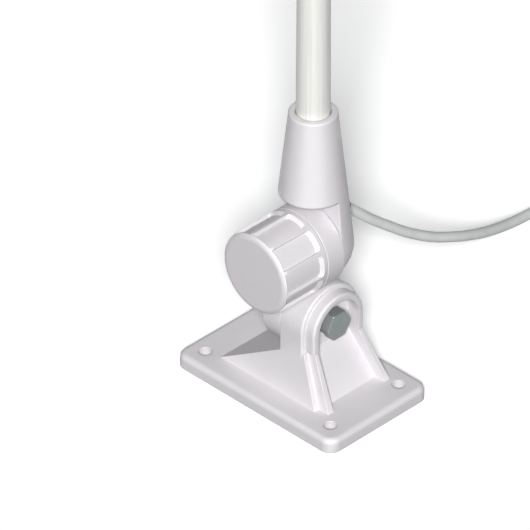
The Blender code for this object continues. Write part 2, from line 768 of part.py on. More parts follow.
def knob_shell(look, knob_axis):
    """A hollow moulded cap round a hub, open at its back, with grip flutes."""
    hollow = KNOB_FACE_Y + 2 * KNOB_WALL
    flat = KNOB_RADIUS - KNOB_EDGE
    rounding = arc_points(KNOB_EDGE, -90, 0, 6)
    profile = [
        (0, KNOB_FACE_Y),
        *((flat + a, KNOB_FACE_Y + KNOB_EDGE + b) for a, b in rounding),
        (KNOB_RADIUS, KNOB_BACK_Y - EDGE_CHAMFER / 2),
        (KNOB_RADIUS - EDGE_CHAMFER / 2, KNOB_BACK_Y),
        (KNOB_RADIUS - KNOB_WALL, KNOB_BACK_Y),
        (KNOB_RADIUS - KNOB_WALL, hollow),
        (KNOB_HUB_RADIUS, hollow),
        (KNOB_HUB_RADIUS, KNOB_BACK_Y),
        (0, KNOB_BACK_Y),
    ]
    hub = (LAY_X, 0, LAY_Z)
    made = turned("knob_shell", profile, (0, 1, 0), hub, look, knob_axis, 96)
    pocket = extruded(
        "insert_pocket",
        hexagon(INSERT_FLATS + 2 * GAP, (0, 1, 0), hub),
        (0, 1, 0),
        KNOB_BACK_Y - GAP - INSERT_LENGTH - GAP,
        KNOB_BACK_Y + BITE,
        carrier=knob_axis,
    )
    cut(made, pocket)
    stud_end = disc_profile(STUD_DIAMETER / 2 + GAP, stud_tip_y() - GAP, KNOB_BACK_Y)
    cut(made, turned("stud_clearance", stud_end, (0, 1, 0), hub, None, knob_axis, SMALL_STEPS))
    for index in range(FLUTE_COUNT):
        cut(made, flute(index, knob_axis))
    return made


def stud_tip_y():
    return KNOB_BACK_Y - GAP - INSERT_LENGTH


def knob_insert(look, knob_axis):
    hub = (LAY_X, 0, LAY_Z)
    back = KNOB_BACK_Y - GAP
    made = extruded(
        "knob_insert",
        hexagon(INSERT_FLATS, (0, 1, 0), hub),
        (0, 1, 0),
        back - INSERT_LENGTH,
        back,
        look,
        knob_axis,
    )
    hole = disc_profile(STUD_DIAMETER / 2 + GAP, back - INSERT_LENGTH - BITE, back + BITE)
    cut(made, turned("insert_bore", hole, (0, 1, 0), hub, None, knob_axis, SMALL_STEPS))
    return made


def clamp_stud(look, lay_axis):
    hub = (LAY_X, 0, LAY_Z)
    made = extruded(
        "clamp_stud",
        hexagon(STUD_HEAD_FLATS, (0, 1, 0), hub),
        (0, 1, 0),
        STUD_HEAD_Y,
        STUD_HEAD_Y + STUD_HEAD_HEIGHT,
        look,
        lay_axis,
    )
    shank = disc_profile(STUD_DIAMETER / 2, stud_tip_y(), STUD_HEAD_Y + BITE, EDGE_CHAMFER)
    join(made, turned("stud_shank", shank, (0, 1, 0), hub, None, lay_axis, SMALL_STEPS))
    return made


def smooth_route(points, spacing):
    """Points read from a smooth curve through the given ones, about the spacing apart."""
    ends = [2 * points[0] - points[1]] + list(points) + [2 * points[-1] - points[-2]]
    read = []
    for i in range(1, len(ends) - 2):
        before, start, stop, after = ends[i - 1 : i + 3]
        span = (stop - start).length
        lead_in = (stop - before) * span / ((start - before).length + span)
        lead_out = (after - start) * span / ((after - stop).length + span)
        count = max(1, round(span / spacing))
        for k in range(count):
            t = k / count
            a = 2 * t**3 - 3 * t**2 + 1
            b = t**3 - 2 * t**2 + t
            c = 3 * t**2 - 2 * t**3
            d = t**3 - t**2
            read.append(a * start + b * lead_in + c * stop + d * lead_out)
    read.append(points[-1].copy())
    return read


def crossing(points, axis, value):
    """The route up to the place where it passes the value on one axis, and from there on."""
    for i, (a, b) in enumerate(zip(points, points[1:])):
        if min(a[axis], b[axis]) <= value <= max(a[axis], b[axis]) and a[axis] != b[axis]:
            place = a.lerp(b, (value - a[axis]) / (b[axis] - a[axis]))
            before = [p for p in points[: i + 1] if (p - place).length > GAP]
            after = [p for p in points[i + 1 :] if (p - place).length > GAP]
            return before + [place], [place] + after
    return points, points[-1:]


def trimmed(points, length):
    """The route without its first stretch of the given length."""
    left = length
    for i, (a, b) in enumerate(zip(points, points[1:])):
        step = (b - a).length
        if step > left:
            return [a.lerp(b, left / step)] + points[i + 1 :]
        left -= step
    return points[-2:]


def tube(name, points, diameter, look=None, carrier=None, resolution=3):
    """A round cable along the points, as a bevelled curve with closed ends."""
    curve = bpy.data.curves.new(name, "CURVE")
    curve.dimensions = "3D"
    curve.bevel_depth = diameter / 2
    curve.bevel_resolution = resolution
    curve.use_fill_caps = True
    origin = Vector((0, 0, 0)) if carrier is None else carrier.matrix_world.translation
    spline = curve.splines.new("POLY")
    spline.points.add(len(points) - 1)
    for target, place in zip(spline.points, points):
        target.co = (*(place - origin), 1.0)
    if look is not None:
        curve.materials.append(look)
    made = bpy.data.objects.new(name, curve)
    bpy.context.collection.objects.link(made)
    made.parent = carrier
    return made


def tube_cutter(name, points, diameter, carrier):
    """The same round tube as a mesh, to bore a passage with."""
    pattern = tube(f"{name}_pattern", points, diameter, None, carrier)
    as_helper(pattern)
    bpy.context.view_layer.update()
    graph = bpy.context.evaluated_depsgraph_get()
    mesh = bpy.data.meshes.new_from_object(pattern.evaluated_get(graph))
    bm = bmesh.new()
    bm.from_mesh(mesh)
    bmesh.ops.remove_doubles(bm, verts=bm.verts, dist=1e-6)
    bm.to_mesh(mesh)
    bm.free()
    made = bpy.data.objects.new(name, mesh)
    bpy.context.collection.objects.link(made)
    made.parent = carrier
    bpy.data.objects.remove(pattern, do_unlink=True)
    return made


def outlet():
    """Middle of the cable's way out of the ferrule, and its direction."""
    direction = Vector((0, math.cos(OUTLET_FALL), -math.sin(OUTLET_FALL)))
    return Vector((LAY_X, OUTLET_Y, OUTLET_Z)), direction


def cable_route():
    """Middle line of the cable, from the radiator down the whip and out to the coil."""
    place, _ = outlet()
    radius = PASSAGE_BEND_RADIUS
    turn = math.pi / 2 - OUTLET_FALL
    bend_y = WHIP_Y + radius * (1 - math.cos(turn))
    straight = (OUTLET_Y - bend_y) / math.cos(OUTLET_FALL)
    bend_z = OUTLET_Z + straight * math.sin(OUTLET_FALL) + radius * math.sin(turn)
    count = round((FEED_TOP_Z - bend_z) / CABLE_SPACING)
    heights = [between(i, 0, count, FEED_TOP_Z, bend_z) for i in range(count)]
    inside = [Vector((LAY_X, WHIP_Y, z)) for z in heights]
    for i in range(PASSAGE_BEND_STEPS + 1):
        angle = turn * i / PASSAGE_BEND_STEPS
        y = WHIP_Y + radius * (1 - math.cos(angle))
        inside.append(Vector((LAY_X, y, bend_z - radius * math.sin(angle))))
    return inside[:-1] + smooth_route([inside[-1], place] + DROP_ROUTE, CABLE_SPACING)


def ferrule(look, lay_axis):
    """The tapered whip holder, with the flat lug behind the swivel's boss."""
    middle = (LAY_X, WHIP_Y, 0)
    lean = math.atan(FERRULE_SLOPE)
    dome = FERRULE_AXIS_RADIUS * math.cos(lean)
    bowl = arc_points(dome, -90, math.degrees(lean), DOME_STEPS)
    profile = [
        (0, LAY_Z - dome),
        *((a, LAY_Z + b) for a, b in bowl[1:]),
        (FERRULE_TOP_RADIUS + FERRULE_SLOPE * EDGE_CHAMFER, FERRULE_TOP_Z - EDGE_CHAMFER),
        (FERRULE_TOP_RADIUS - EDGE_CHAMFER, FERRULE_TOP_Z),
        (0, FERRULE_TOP_Z),
    ]
    made = turned("ferrule", profile, (0, 0, 1), middle, look, lay_axis)
    reach = 2 * FERRULE_AXIS_RADIUS
    front = block(
        "lug_front",
        (LAY_X - reach, WHIP_Y - reach, LAY_Z - reach),
        (LAY_X + reach, LUG_FRONT_Y, FERRULE_CUT_Z),
        carrier=lay_axis,
    )
    cut(made, front)
    socket = disc_profile(
        WHIP_BASE_DIAMETER / 2 + GAP, FERRULE_TOP_Z - SOCKET_DEPTH, FERRULE_TOP_Z + BITE
    )
    cut(made, turned("whip_socket", socket, (0, 0, 1), middle, None, lay_axis))
    hub = (LAY_X, 0, LAY_Z)
    bore = disc_profile(STUD_DIAMETER / 2 + GAP, 0, STUD_HEAD_Y + BITE)
    cut(made, turned("lug_bore", bore, (0, 1, 0), hub, None, lay_axis, SMALL_STEPS))
    head = extruded(
        "stud_pocket",
        hexagon(STUD_HEAD_FLATS + 2 * GAP, (0, 1, 0), hub),
        (0, 1, 0),
        STUD_HEAD_Y - GAP,
        STUD_HEAD_Y + STUD_HEAD_HEIGHT + GAP,
        carrier=lay_axis,
    )
    cut(made, head)
    place, direction = outlet()
    inside, _ = crossing(cable_route(), 1, (place + direction * CABLE_JOINT_ALONG).y)
    passage = [p for p in inside if p.z < FERRULE_TOP_Z - SOCKET_DEPTH / 2]
    passage.append(passage[-1] + direction * GROMMET_DIAMETER)
    cut(made, tube_cutter("cable_passage", passage, CABLE_DIAMETER + 2 * GAP, lay_axis))
    seat = disc_profile(GROMMET_DIAMETER / 2 + GAP, -GROMMET_SEAT - GAP, GROMMET_DIAMETER)
    cut(made, turned("grommet_seat", seat, direction, place, None, lay_axis, SMALL_STEPS))
    lug_face = (LAY_X, LUG_FRONT_Y, LAY_Z)
    cut(made, tooth_ring("lug_teeth", (0, -1, 0), lug_face, math.pi / TOOTH_COUNT, lay_axis))
    return made


def cable_grommet(look, lay_axis):
    place, direction = outlet()
    bore = CABLE_DIAMETER / 2 + GAP
    profile = [
        (bore, -GROMMET_SEAT),
        (GROMMET_DIAMETER / 2, -GROMMET_SEAT),
        (GROMMET_DIAMETER / 2, 0.0),
        (GROMMET_TIP_DIAMETER / 2, GROMMET_NOSE),
        (bore, GROMMET_NOSE),
    ]
    return turned(
        "cable_grommet", profile, direction, place, look, lay_axis, SMALL_STEPS
    )


def whip_radius(z):
    """Outside radius of the whip, which tapers from the ferrule's mouth to the cap."""
    tip = WHIP_TIP_DIAMETER / 2
    base = WHIP_BASE_DIAMETER / 2
    return between(max(z, FERRULE_TOP_Z), FERRULE_TOP_Z, WHIP_TOP_Z, base, tip)


def whip_tube(look, lay_axis):
    heights = (WHIP_BOTTOM_Z, FERRULE_TOP_Z, WHIP_TOP_Z)
    outside = [(whip_radius(z), z) for z in heights]
    inside = [(whip_radius(z) - WHIP_WALL, z) for z in reversed(heights)]
    middle = (LAY_X, WHIP_Y, 0)
    return turned("whip_tube", outside + inside, (0, 0, 1), middle, look, lay_axis, 40)


def tip_cap(look, lay_axis):
    top = OVERALL_HEIGHT
    edge = CAP_TOP_DIAMETER / 2
    stem = CAP_STEM_DIAMETER / 2
    profile = [
        (0, CAP_FOOT_Z - CAP_STEM_LENGTH),
        (stem - CAP_EDGE / 2, CAP_FOOT_Z - CAP_STEM_LENGTH),
        (stem, CAP_FOOT_Z - CAP_STEM_LENGTH + CAP_EDGE / 2),
        (stem, CAP_FOOT_Z),
        (CAP_FOOT_DIAMETER / 2, CAP_FOOT_Z),
        (edge, top - 2 * CAP_EDGE),
        (edge - 0.2 * CAP_EDGE, top - CAP_EDGE),
        (edge - CAP_EDGE, top - 0.3 * CAP_EDGE),
        (edge - 2.4 * CAP_EDGE, top),
        (0, top),
    ]
    middle = (LAY_X, WHIP_Y, 0)
    return turned("tip_cap", profile, (0, 0, 1), middle, look, lay_axis, SMALL_STEPS)


def radiator(metal, foam, lay_axis):
    """Brass sleeve over the feed cable, the upper element, and the foam discs round both."""
    middle = (LAY_X, WHIP_Y, 0)
    up = (0, 0, 1)
    outside = whip_radius(SLEEVE_TOP_Z) - WHIP_WALL - SLEEVE_CLEARANCE
    inside = outside - SLEEVE_WALL
    sleeve = disc_profile(outside, SLEEVE_BOTTOM_Z, SLEEVE_TOP_Z, 0.0, inside)
    turned("sleeve_tube", sleeve, up, middle, metal, lay_axis, TINY_STEPS)
    element = disc_profile(ELEMENT_DIAMETER / 2, ELEMENT_BOTTOM_Z, ELEMENT_TOP_Z)
    turned("upper_element", element, up, middle, metal, lay_axis, TINY_STEPS // 2)
    for name, shares, held, start, stop in (
        ("sleeve_spacer", SLEEVE_SPACERS_AT, outside, SLEEVE_BOTTOM_Z, SLEEVE_TOP_Z),
        (
            "element_spacer",
            ELEMENT_SPACERS_AT,
            ELEMENT_DIAMETER / 2,
            ELEMENT_BOTTOM_Z,
            ELEMENT_TOP_Z,
        ),
    ):
        for number, share in enumerate(shares, 1):
            hole = held + GAP
            z = between(share, 0, 1, start, stop)
            low, high = z - SPACER_LENGTH / 2, z + SPACER_LENGTH / 2
            profile = [
                (hole, low),
                (whip_radius(low) - WHIP_WALL - GAP, low),
                (whip_radius(high) - WHIP_WALL - GAP, high),
                (hole, high),
            ]
            turned(f"{name}_{number}", profile, up, middle, foam, lay_axis, TINY_STEPS)


def cable(look, lay_axis):
    """The cable from the radiator to the coil, in stretches that meet face to face."""
    place, direction = outlet()
    joint_y = (place + direction * CABLE_JOINT_ALONG).y
    inside, outside = crossing(cable_route(), 1, joint_y)
    tube("feed_cable", inside, CABLE_DIAMETER, look, lay_axis, 2)
    lead, rest = crossing(trimmed(outside, GAP), 1, LEAD_END_Y)
    tube("cable_lead", lead, CABLE_DIAMETER, look, lay_axis)
    run, _ = crossing(trimmed(rest, GAP), 1, RUN_END_Y)
    tube("cable_run", run, CABLE_DIAMETER, look)
    tail_route = smooth_route(TAIL_ROUTE, CABLE_SPACING)
    _, tail = crossing(tail_route, 1, TAIL_START_Y)
    tube("cable_tail", tail, CABLE_DIAMETER, look)


def cable_coil(look, tie_look):
    centre = (COIL_X, COIL_Y, 0)
    half = COIL_PITCH / 2
    inner = COIL_INNER_TURN - half
    outer = COIL_OUTER_TURN + half
    low = COIL_BOTTOM_Z
    high = COIL_BOTTOM_Z + COIL_HEIGHT
    r = COIL_ROUNDING
    profile = [
        (inner + r, low),
        (outer - r, low),
        (outer, low + r),
        (outer, high - r),
        (outer - r, high),
        (inner + r, high),
        (inner, high - r),
        (inner, low + r),
    ]
    turned("cable_coil", profile, (0, 0, 1), centre, look, None, 48)
    near = math.sqrt(inner**2 - (TIE_WIDTH / 2) ** 2) - GAP
    far = outer + GAP
    loops = []
    for grow in (0.0, TIE_THICKNESS):
        y0, y1 = COIL_Y - far - grow, COIL_Y - near + grow
        z0, z1 = low - GAP - grow, high + GAP + grow
        loops.append([(y0, z0), (y1, z0), (y1, z1), (y0, z1)])
    bm = bmesh.new()
    rows = []
    for x in (COIL_X - TIE_WIDTH / 2, COIL_X + TIE_WIDTH / 2):
        rows.append([[bm.verts.new((x, y, z)) for y, z in loop] for loop in loops])
    for i in range(4):
        j = (i + 1) % 4
        (a_in, a_out), (b_in, b_out) = rows
        bm.faces.new((a_in[i], a_in[j], b_in[j], b_in[i]))
        bm.faces.new((a_out[i], a_out[j], b_out[j], b_out[i]))
        bm.faces.new((a_in[i], a_in[j], a_out[j], a_out[i]))
        bm.faces.new((b_in[i], b_in[j], b_out[j], b_out[i]))
    finish_mesh("coil_tie", bm, tie_look, smooth=False)


def plug(metal, white, ring_axis):
    """A screw-on coaxial plug with its reducer, lying on the floor, pin towards -Y."""
    rear = (PLUG_X, PLUG_REAR_Y, PLUG_Z)
    front = (0, -1, 0)
    cable_bore = CABLE_DIAMETER / 2 + GAP
    stem = REDUCER_STEM_DIAMETER / 2
    stem_end = REDUCER_FLANGE_LENGTH + REDUCER_STEM_LENGTH
    reducer = [
        (cable_bore, 0),
        (REDUCER_FLANGE_DIAMETER / 2, 0),
        (REDUCER_FLANGE_DIAMETER / 2, REDUCER_FLANGE_LENGTH),
        (stem, REDUCER_FLANGE_LENGTH),
        (stem, stem_end),
        (cable_bore, stem_end),
    ]
    turned("plug_reducer", reducer, front, rear, metal, None, SMALL_STEPS)
    start = REDUCER_FLANGE_LENGTH + GAP
    flange = start + PLUG_BARREL_LENGTH
    shell = flange + PLUG_FLANGE_LENGTH
    end = shell + PLUG_SHELL_LENGTH
    seat = shell + PLUG_SHELL_LENGTH - INSULATOR_LENGTH - GAP
    pin_bore = PIN_DIAMETER / 2 + GAP
    body = [
        (stem + GAP, start),
        (PLUG_BARREL_DIAMETER / 2, start),
        (PLUG_BARREL_DIAMETER / 2, flange),
        (PLUG_FLANGE_DIAMETER / 2, flange),
        (PLUG_FLANGE_DIAMETER / 2, shell),
        (PLUG_SHELL_DIAMETER / 2, shell),
        (PLUG_SHELL_DIAMETER / 2, end),
        (PLUG_SHELL_DIAMETER / 2 - PLUG_SHELL_WALL, end),
        (PLUG_SHELL_DIAMETER / 2 - PLUG_SHELL_WALL, seat),
        (pin_bore, seat),
        (pin_bore, stem_end + GAP),
        (stem + GAP, stem_end + GAP),
    ]
    turned("plug_body", body, front, rear, metal, None, SMALL_STEPS)
    insulator = disc_profile(
        PLUG_SHELL_DIAMETER / 2 - PLUG_SHELL_WALL - GAP,
        seat + GAP,
        seat + GAP + INSULATOR_LENGTH,
        0.0,
        pin_bore,
    )
    turned("plug_insulator", insulator, front, rear, white, None, SMALL_STEPS)
    tip = end + PIN_REACH
    radius = PIN_DIAMETER / 2
    pin = [
        (0, tip - PIN_LENGTH),
        (radius, tip - PIN_LENGTH),
        (radius, tip - radius),
        (0.5 * radius, tip),
        (0, tip),
    ]
    turned("plug_pin", pin, front, rear, metal, None, 16)
    lip_bore = PLUG_BARREL_DIAMETER / 2 + GAP
    lip = flange - GAP - RING_LIP
    coupling = [
        (lip_bore, lip),
        (RING_DIAMETER / 2 - EDGE_CHAMFER, lip),
        (RING_DIAMETER / 2, lip + EDGE_CHAMFER),
        (RING_DIAMETER / 2, lip + RING_LENGTH - EDGE_CHAMFER),
        (RING_DIAMETER / 2 - EDGE_CHAMFER, lip + RING_LENGTH),
        (PLUG_FLANGE_DIAMETER / 2 + GAP, lip + RING_LENGTH),
        (PLUG_FLANGE_DIAMETER / 2 + GAP, lip + RING_LIP),
        (lip_bore, lip + RING_LIP),
    ]
    turned("coupling_ring", coupling, front, rear, metal, ring_axis, SMALL_STEPS)


def main():
    clear_scene()
    white = material("white_moulding", (0.90, 0.90, 0.89), 0.42)
    steel = material("stainless_steel", (0.42, 0.45, 0.44), 0.34, 0.9)
    glassfibre = material("white_glassfibre", (0.93, 0.92, 0.88), 0.30)
    black = material("black_rubber", (0.015, 0.015, 0.016), 0.55)
    jacket = material("grey_cable_jacket", (0.66, 0.68, 0.66), 0.50)
    brass = material("brass", (0.72, 0.55, 0.25), 0.35, 1.0)
    foam = material("white_foam", (0.85, 0.85, 0.82), 0.90)
    nickel = material("nickel_plate", (0.70, 0.69, 0.66), 0.28, 1.0)
    insulation = material("white_insulator", (0.88, 0.88, 0.86), 0.45)

    tilt_axis = axis_empty("tilt_axis", Vector((0, PIVOT_Y, PIVOT_Z)))
    lay_axis = axis_empty("lay_axis", Vector((LAY_X, 0, LAY_Z)), tilt_axis)
    knob_axis = axis_empty("knob_axis", Vector((LAY_X, KNOB_BACK_Y, LAY_Z)), lay_axis)
    ring_axis = axis_empty("ring_axis", Vector((PLUG_X, PLUG_REAR_Y, PLUG_Z)))

    base_mount(white)
    pivot_bolt(steel)
    bolt_hardware(steel, tilt_axis)
    swivel_body(white, tilt_axis)
    thrust_washer(steel, tilt_axis)
    knob_shell(white, knob_axis)
    knob_insert(brass, knob_axis)
    clamp_stud(steel, lay_axis)
    ferrule(white, lay_axis)
    cable_grommet(black, lay_axis)
    whip_tube(glassfibre, lay_axis)
    tip_cap(black, lay_axis)
    radiator(brass, foam, lay_axis)
    cable(jacket, lay_axis)
    cable_coil(jacket, black)
    plug(nickel, insulation, ring_axis)
    bpy.context.view_layer.update()


main()
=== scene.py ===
import bpy
import bmesh
import math
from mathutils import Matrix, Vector


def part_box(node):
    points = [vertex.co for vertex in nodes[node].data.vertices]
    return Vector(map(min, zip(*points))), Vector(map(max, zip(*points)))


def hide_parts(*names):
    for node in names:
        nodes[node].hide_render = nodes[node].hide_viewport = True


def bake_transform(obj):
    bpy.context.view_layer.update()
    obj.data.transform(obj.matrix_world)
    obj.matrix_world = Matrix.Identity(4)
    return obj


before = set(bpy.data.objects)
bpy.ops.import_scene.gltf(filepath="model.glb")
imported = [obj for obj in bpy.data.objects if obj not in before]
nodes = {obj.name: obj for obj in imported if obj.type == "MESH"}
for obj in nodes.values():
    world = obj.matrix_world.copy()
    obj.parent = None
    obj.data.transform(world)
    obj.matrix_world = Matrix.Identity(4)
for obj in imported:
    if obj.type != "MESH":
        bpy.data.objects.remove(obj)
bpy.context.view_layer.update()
MM = 0.001


# Camera and light

# The photo is an equal-angle parallel view. Its middle lies at this point of the object, and
# its width covers this length there.
PHOTO_MIDDLE = Vector((-0.0118, -0.0118, 0.0642))
PHOTO_WIDTH = 0.2382
TOWARDS_CAMERA = Vector((1, -1, 1)).normalized()
LENS_MM = 500.0
SENSOR_MM = 36.0

# The even light of the world, and what gloss and the camera see of it besides
FILL = 0.10
SEEN_BY_GLOSS = 0.40
SEEN_BY_CAMERA = 0.90
FILL_COLOUR = (0.96, 0.97, 1.0, 1)


def camera():
    """A long lens along the photo's line of sight, which is near enough a parallel view."""
    data = bpy.data.cameras.new("camera")
    data.lens = LENS_MM
    data.sensor_width = SENSOR_MM
    data.clip_start = 0.1
    data.clip_end = 60.0
    cam = bpy.data.objects.new("camera", data)
    cam.location = PHOTO_MIDDLE + TOWARDS_CAMERA * PHOTO_WIDTH * LENS_MM / SENSOR_MM
    cam.rotation_euler = TOWARDS_CAMERA.to_track_quat("Z", "Y").to_euler()
    bpy.context.scene.collection.objects.link(cam)
    bpy.context.scene.camera = cam


def sun(name, towards, strength, angle, shades=True, glints=True):
    """A lamp seen under an angle in degrees. It can leave out surfaces' colour or their gloss."""
    data = bpy.data.lights.new(name, "SUN")
    data.energy = strength
    data.angle = math.radians(angle)
    lamp = bpy.data.objects.new(name, data)
    lamp.rotation_euler = Vector(towards).to_track_quat("Z", "Y").to_euler()
    lamp.visible_diffuse = shades
    lamp.visible_glossy = glints
    bpy.context.scene.collection.objects.link(lamp)


def world_light():
    """A faint even fill, which gloss sees brighter, with a white background for the camera."""
    world = bpy.data.worlds.new("studio")
    world.use_nodes = True
    tree = world.node_tree
    rays = tree.nodes.new("ShaderNodeLightPath")
    level = None
    for ray, share in (("Is Glossy Ray", SEEN_BY_GLOSS), ("Is Camera Ray", SEEN_BY_CAMERA)):
        node = tree.nodes.new("ShaderNodeMath")
        node.operation = "MULTIPLY_ADD"
        node.inputs[1].default_value = share
        node.inputs[2].default_value = FILL
        tree.links.new(rays.outputs[ray], node.inputs[0])
        if level is not None:
            tree.links.new(level, node.inputs[2])
        level = node.outputs[0]
    background = tree.nodes["Background"]
    background.inputs["Color"].default_value = FILL_COLOUR
    tree.links.new(level, background.inputs["Strength"])
    bpy.context.scene.world = world


def studio():
    """Light from beside the camera, and from behind and below for the sides it can't reach."""
    bpy.context.scene.view_settings.view_transform = "Standard"
    sun("key_light", (0.97, -1.03, 0.94), strength=4.35, angle=10)
    sun("gloss_box", (1.0, -1.0, 0.9), strength=5.0, angle=132, shades=False)
    sun("back_light_1", (-0.26, 0.97, -0.5), strength=2.4, angle=20, glints=False)
    sun("back_light_2", (-0.97, 0.26, -0.5), strength=2.4, angle=20, glints=False)
    world_light()


# Materials

# The plug's ring has this many knurl lines each way
KNURLS = 56
KNURL_DEPTH = 0.5 * MM


class Look:
    """A node material whose nodes are added by short calls."""

    def __init__(self, name):
        self.made = bpy.data.materials.new(name)
        self.made.use_nodes = True
        self.tree = self.made.node_tree
        self.shader = self.tree.nodes["Principled BSDF"]
        self.place = self.tree.nodes.new("ShaderNodeTexCoord").outputs["Object"]

    def set(self, **values):
        """Constant values of the shader's own sockets."""
        for name, value in values.items():
            self.shader.inputs[name.replace("_", " ")].default_value = value

    def link(self, source, target):
        self.tree.links.new(source, target)

    def feed(self, source, name):
        """Join an output to one of the shader's sockets."""
        self.link(source, self.shader.inputs[name])

    def scaled(self, scale):
        """The object's own coordinates, stretched, for patterns that run one way."""
        node = self.tree.nodes.new("ShaderNodeMapping")
        node.inputs["Scale"].default_value = scale
        self.link(self.place, node.inputs["Vector"])
        return node.outputs["Vector"]

    def noise(self, scale, detail=2.0, rough=0.5, place=None):
        node = self.tree.nodes.new("ShaderNodeTexNoise")
        node.inputs["Scale"].default_value = scale
        node.inputs["Detail"].default_value = detail
        node.inputs["Roughness"].default_value = rough
        self.link(place or self.place, node.inputs["Vector"])
        return node.outputs["Fac"]

    def ramp(self, source, *stops):
        """Colours along a value, each with the place at which it stands alone."""
        node = self.tree.nodes.new("ShaderNodeValToRGB")
        points = node.color_ramp.elements
        while len(points) < len(stops):
            points.new(0.5)
        for point, (at, colour) in zip(points, stops):
            point.position = at
            point.color = (*colour, 1.0)
        self.link(source, node.inputs["Fac"])
        return node.outputs["Color"]

    def spread(self, source, low, high, start=0.3, stop=0.7):
        """The source's range from start to stop, spread from low to high."""
        node = self.tree.nodes.new("ShaderNodeMapRange")
        for name, value in zip(
            ("From Min", "From Max", "To Min", "To Max"), (start, stop, low, high)
        ):
            node.inputs[name].default_value = value
        self.link(source, node.inputs["Value"])
        return node.outputs["Result"]

    def maths(self, kind, a, b):
        """A Math node's result. Each of a and b may be a number or an output."""
        node = self.tree.nodes.new("ShaderNodeMath")
        node.operation = kind
        for socket, value in zip(node.inputs, (a, b)):
            if isinstance(value, (int, float)):
                socket.default_value = value
            else:
                self.link(value, socket)
        return node.outputs[0]

    def mix(self, share, a, b):
        """Colour a, with the share of colour b. Each may be a value or an output."""
        node = self.tree.nodes.new("ShaderNodeMix")
        node.data_type = "RGBA"
        factor = next(s for s in node.inputs if s.name == "Factor" and s.type == "VALUE")
        first, second = [s for s in node.inputs if s.type == "RGBA"][:2]
        for socket, value in ((factor, share), (first, a), (second, b)):
            if isinstance(value, (int, float)):
                socket.default_value = value
            elif isinstance(value, tuple):
                socket.default_value = (*value, 1.0)
            else:
                self.link(value, socket)
        return next(s for s in node.outputs if s.type == "RGBA")

    def bump(self, source, depth, strength=1.0, after=None):
        node = self.tree.nodes.new("ShaderNodeBump")
        node.inputs["Strength"].default_value = strength
        node.inputs["Distance"].default_value = depth
        self.link(source, node.inputs["Height"])
        if after is not None:
            self.link(after, node.inputs["Normal"])
        return node.outputs["Normal"]

    def rounded(self, radius):
        """Normals that run round the edges with this radius."""
        node = self.tree.nodes.new("ShaderNodeBevel")
        node.samples = 6
        node.inputs["Radius"].default_value = radius
        return node.outputs["Normal"]

    def edge_mask(self, radius):
        """Near 1 along sharp edges, and 0 on flat faces."""
        soft = self.rounded(radius)
        node = self.tree.nodes.new("ShaderNodeVectorMath")
        node.operation = "DOT_PRODUCT"
        self.link(soft, node.inputs[0])
        true = self.tree.nodes.new("ShaderNodeNewGeometry").outputs["Normal"]
        self.link(true, node.inputs[1])
        return self.spread(node.outputs["Value"], 1.0, 0.0, start=0.82, stop=0.995)


def moulding(name, corner):
    """White moulded nylon, with a fine spark grain, faint flow lines and scuffed edges."""
    look = Look(name)
    cloud = look.noise(38, detail=3, rough=0.55)
    flow = look.noise(9, detail=2, rough=0.5, place=look.scaled((1, 1, 6)))
    base = look.ramp(cloud, (0.30, (0.585, 0.565, 0.585)), (0.70, (0.615, 0.595, 0.613)))
    base = look.mix(look.spread(flow, 0.0, 0.35), base, (0.580, 0.562, 0.583))
    edge = look.edge_mask(0.7 * MM)
    patches = look.spread(look.noise(260, detail=3, rough=0.6), 0.0, 0.5)
    scuff = look.maths("MULTIPLY", edge, patches)
    base = look.mix(scuff, base, (0.67, 0.66, 0.665))
    look.feed(base, "Base Color")
    look.feed(look.spread(look.noise(70, detail=4, rough=0.6), 0.30, 0.36), "Roughness")
    grain = look.noise(2600, detail=2, rough=0.5)
    swell = look.noise(120, detail=2, rough=0.4)
    uneven = look.bump(swell, depth=0.06 * MM, strength=0.35, after=look.rounded(corner))
    look.feed(look.bump(grain, depth=0.018 * MM, strength=0.45, after=uneven), "Normal")
    look.set(IOR=1.5, Specular_IOR_Level=0.75)
    look.set(Subsurface_Weight=0.04, Subsurface_Radius=(0.002, 0.002, 0.002))
    return look.made


def steel():
    """Dull stainless steel, with fine scratches and brighter edges."""
    look = Look("stainless_look")
    cloud = look.noise(160, detail=3, rough=0.6)
    lines = look.noise(900, detail=3, rough=0.55, place=look.scaled((0.25, 3.0, 3.0)))
    base = look.ramp(cloud, (0.3, (0.265, 0.295, 0.287)), (0.72, (0.335, 0.36, 0.352)))
    base = look.mix(look.spread(lines, 0.0, 0.4), base, (0.22, 0.245, 0.238))
    edge = look.edge_mask(0.2 * MM)
    base = look.mix(look.maths("MULTIPLY", edge, 0.25), base, (0.45, 0.47, 0.46))
    look.feed(base, "Base Color")
    look.feed(look.spread(lines, 0.42, 0.55), "Roughness")
    soft = look.rounded(0.12 * MM)
    look.feed(look.bump(lines, depth=0.02 * MM, strength=0.4, after=soft), "Normal")
    look.set(Metallic=0.6)
    return look.made


def glassfibre():
    """White gel coat over glassfibre: gloss, with fibres showing faintly along the whip."""
    look = Look("glassfibre_look")
    fibres = look.noise(1400, detail=3, rough=0.6, place=look.scaled((1, 1, 0.012)))
    broad = look.noise(420, detail=2, rough=0.5, place=look.scaled((1, 1, 0.004)))
    cloud = look.noise(14, detail=2, rough=0.5)
    base = look.ramp(fibres, (0.35, (0.60, 0.595, 0.56)), (0.62, (0.73, 0.725, 0.695)))
    base = look.mix(look.spread(broad, 0.0, 0.55), base, (0.70, 0.70, 0.675))
    base = look.mix(look.spread(cloud, 0.0, 0.25), base, (0.68, 0.675, 0.64))
    look.feed(base, "Base Color")
    look.feed(look.spread(cloud, 0.26, 0.36), "Roughness")
    look.feed(look.bump(fibres, depth=0.015 * MM, strength=0.4), "Normal")
    look.set(IOR=1.5, Coat_Weight=0.5, Coat_Roughness=0.12)
    return look.made


